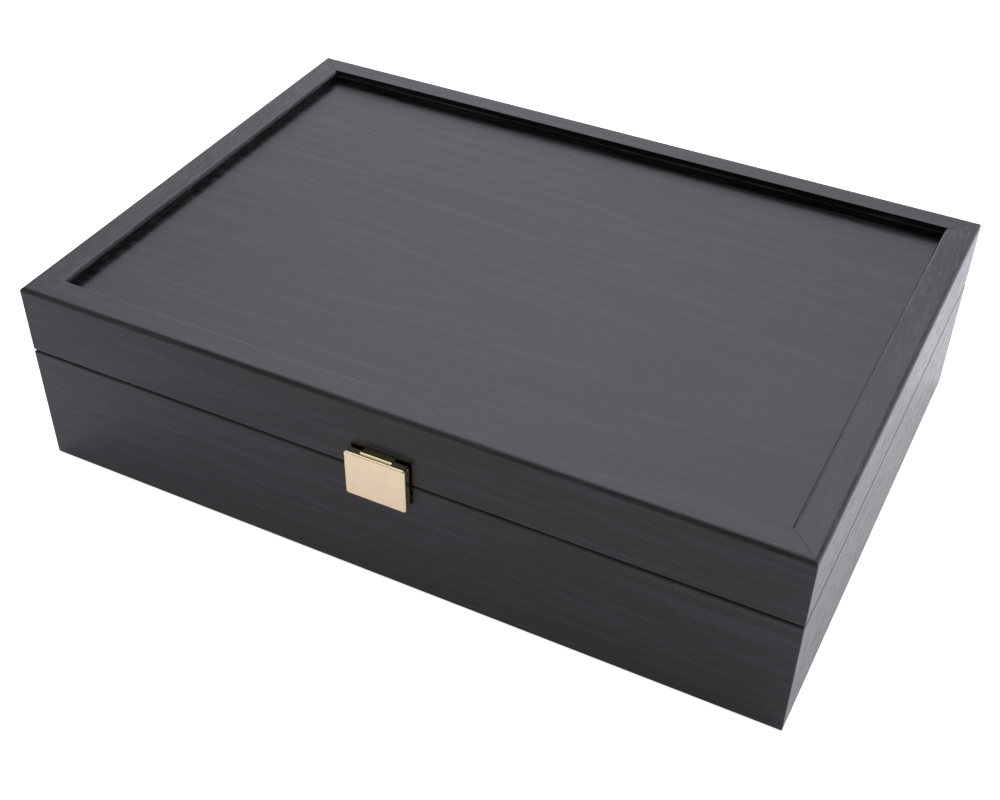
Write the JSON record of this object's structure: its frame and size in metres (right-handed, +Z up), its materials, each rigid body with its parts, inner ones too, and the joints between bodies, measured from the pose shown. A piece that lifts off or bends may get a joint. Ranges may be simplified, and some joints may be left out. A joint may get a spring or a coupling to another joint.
{
  "type": "chess piece storage case",
  "caption": "Flat mitred wooden box with a hinged framed lid, a flip clasp in front and crossed dividers inside for chess pieces.",
  "frame": {"origin": "centre of the bounding box on the surface the case stands on", "axes": "+X along the length of the case, towards the right of someone facing the clasp; -Y is the side with the clasp; +Z up"},
  "size_m": [0.36, 0.2598, 0.0945],
  "materials": {
    "stained_wood": "solid wood stained black under a thin satin lacquer, fine grain along each board",
    "divider_board": "thin black-stained board with eased top edges",
    "clasp_gold": "cast and pressed metal with a pale satin gold plating, bare of any mark",
    "hinge_brass": "solid machined brass, lightly brushed",
    "felt": "short dark green baize glued down flat"
  },
  "bodies": {
    "base": {"base_front_wall": "stained_wood", "base_back_wall": "stained_wood", "base_left_wall": "stained_wood", "base_right_wall": "stained_wood", "base_bottom_panel": "stained_wood", "base_felt": "felt", "column_divider_1": "divider_board", "column_divider_2": "divider_board", "column_divider_3": "divider_board", "row_divider_1": "divider_board", "row_divider_2": "divider_board", "row_divider_3": "divider_board", "row_divider_4": "divider_board", "row_divider_5": "divider_board", "hinge_left_base_leaf": "hinge_brass", "hinge_left_pin": "hinge_brass", "hinge_right_base_leaf": "hinge_brass", "hinge_right_pin": "hinge_brass", "base_hinge_screws": "hinge_brass", "clasp_catch": "clasp_gold", "clasp_catch_screws": "clasp_gold"},
    "lid": {"lid_front_wall": "stained_wood", "lid_back_wall": "stained_wood", "lid_left_wall": "stained_wood", "lid_right_wall": "stained_wood", "lid_panel": "stained_wood", "lid_felt": "felt", "hinge_left_lid_leaf": "hinge_brass", "hinge_right_lid_leaf": "hinge_brass", "lid_hinge_screws": "hinge_brass", "clasp_bracket": "clasp_gold", "clasp_bracket_screws": "clasp_gold", "clasp_pin": "clasp_gold"},
    "flap": {"clasp_flap": "clasp_gold"}
  },
  "joints": [
    {"name": "lid_hinge", "type": "hinge", "parent": "base", "child": "lid", "pos_m": [0, 0.1271, 0.06065], "axis": [-1, 0, 0], "range_deg": [0, 95]},
    {"name": "clasp_hinge", "type": "hinge", "parent": "lid", "child": "flap", "pos_m": [0, -0.1271, 0.07115], "axis": [-1, 0, 0], "range_deg": [0, 125]}
  ]
}
